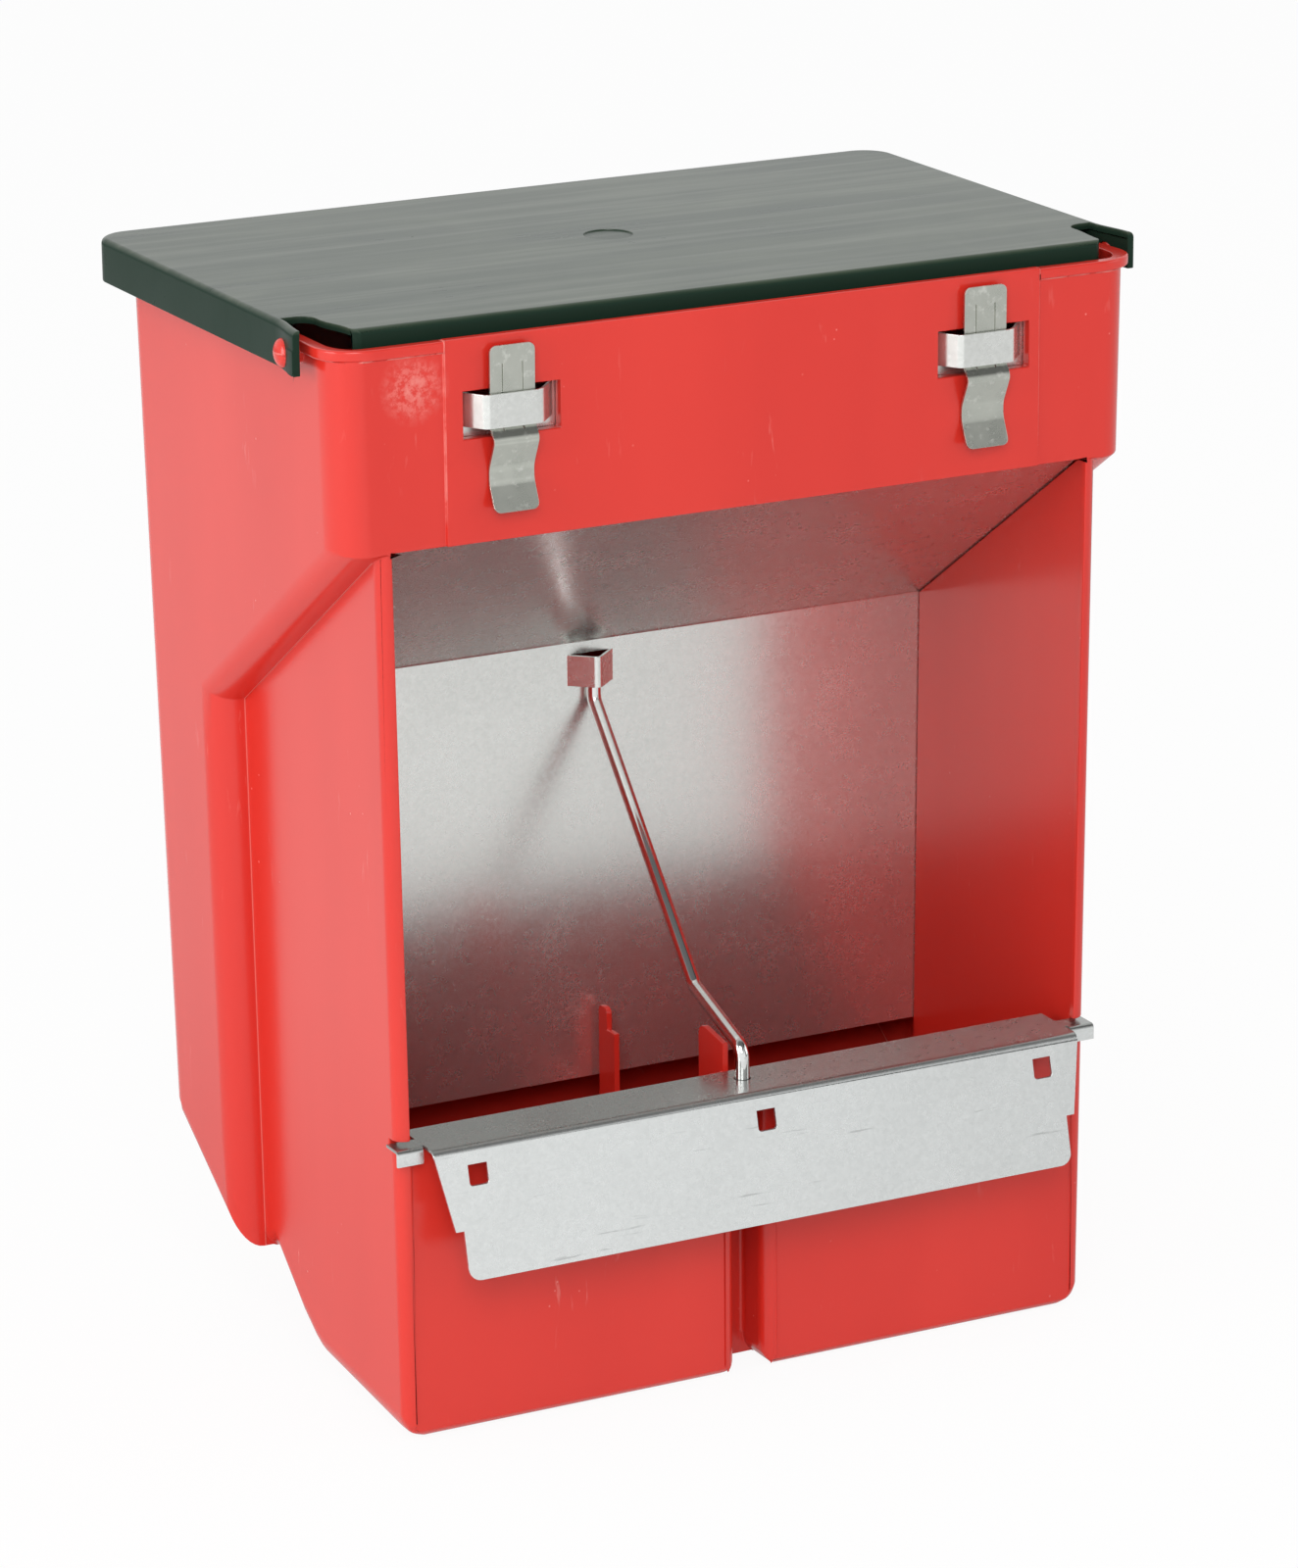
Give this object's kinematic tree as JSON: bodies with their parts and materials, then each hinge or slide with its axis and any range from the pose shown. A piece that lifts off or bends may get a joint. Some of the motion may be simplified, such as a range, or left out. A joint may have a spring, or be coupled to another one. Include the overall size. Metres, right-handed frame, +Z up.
{
  "type": "rabbit feeder",
  "caption": "Hang-on hopper feeder for a rabbit cage: moulded hopper with hinged lid, bent steel baffle, trough guard, divider rod and spring clips",
  "frame": {"origin": "centre of the overall box in plan, at the height of the trough's flat bottom", "axes": "+Z up, -Y towards the apron and mouth that face the cage, +Y to the back of the hopper, +X to the right as seen from the mouth"},
  "size_m": [0.2604, 0.1714, 0.3158],
  "materials": {
    "red_polypropylene": "injection moulded red polypropylene, low gloss",
    "dark_green_polypropylene": "injection moulded dark green polypropylene, low gloss",
    "galvanised_sheet": "hot-dip galvanised sheet with a fine spangle",
    "zinc_plated_spring_steel": "zinc plated spring steel strip",
    "bright_steel_wire": "bright plated steel wire"
  },
  "bodies": {
    "body": {"hopper_body": "red_polypropylene", "baffle": "galvanised_sheet", "trough_guard": "galvanised_sheet"},
    "lid": {"lid": "dark_green_polypropylene"},
    "clip_left": {"clip_left": "zinc_plated_spring_steel"},
    "clip_right": {"clip_right": "zinc_plated_spring_steel"},
    "rod": {"divider_rod": "bright_steel_wire"}
  },
  "joints": [
    {"name": "lid_hinge", "type": "hinge", "parent": "body", "child": "lid", "pos_m": [0, -0.04745, 0.308], "axis": [1, 0, 0], "range_deg": [0, 100]},
    {"name": "clip_left_slide", "type": "slide", "parent": "body", "child": "clip_left", "axis": [0, 0, 1], "range_m": [-0.008, 0]},
    {"name": "clip_right_slide", "type": "slide", "parent": "body", "child": "clip_right", "axis": [0, 0, 1], "range_m": [-0.008, 0]},
    {"name": "rod_lift", "type": "slide", "parent": "body", "child": "rod", "axis": [0, 0, 1], "range_m": [0, 0.004]}
  ]
}
